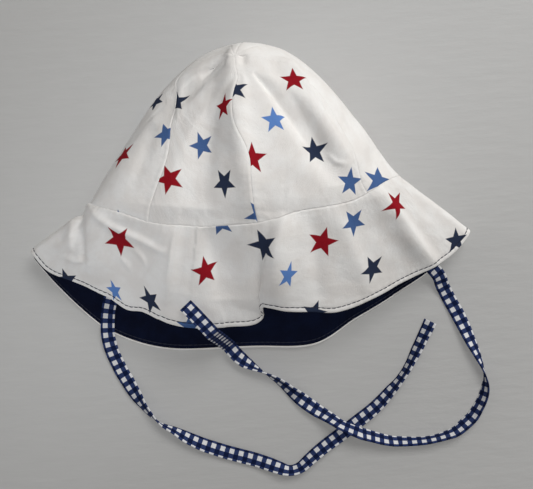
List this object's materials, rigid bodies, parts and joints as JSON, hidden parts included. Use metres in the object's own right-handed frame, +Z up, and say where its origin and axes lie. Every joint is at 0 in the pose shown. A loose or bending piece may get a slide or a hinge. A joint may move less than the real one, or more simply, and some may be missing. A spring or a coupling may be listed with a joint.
{
  "type": "sun hat",
  "caption": "Baby's soft cotton sun hat lying on its back: a gored crown in star print, a flared brim with a dark lining, and checked chin ties lying loose.",
  "frame": {"origin": "on the table, under the middle of a line between the two sides of the head seam", "axes": "+X across the hat to the right as the picture shows it, +Y from the hat's mouth to the crown's top, +Z up from the table"},
  "size_m": [0.2804, 0.2712, 0.082],
  "materials": {
    "printed_cotton": "plain weave white cotton printed with red, blue and navy stars, matt",
    "navy_cotton": "plain weave navy cotton, matt",
    "checked_cotton": "woven navy and white check, folded into a narrow flat tie, matt"
  },
  "bodies": {
    "root": {"crown_gore_right_to_front": "printed_cotton", "crown_gore_front_to_left": "printed_cotton", "crown_gore_left_to_back_left": "printed_cotton", "crown_gore_back_left_to_back": "printed_cotton", "crown_gore_back_to_back_right": "printed_cotton", "crown_gore_back_right_to_right": "printed_cotton", "brim": "printed_cotton", "crown_lining": "navy_cotton", "brim_lining": "navy_cotton", "tie_left": "checked_cotton", "tie_right": "checked_cotton"}
  },
  "joints": []
}
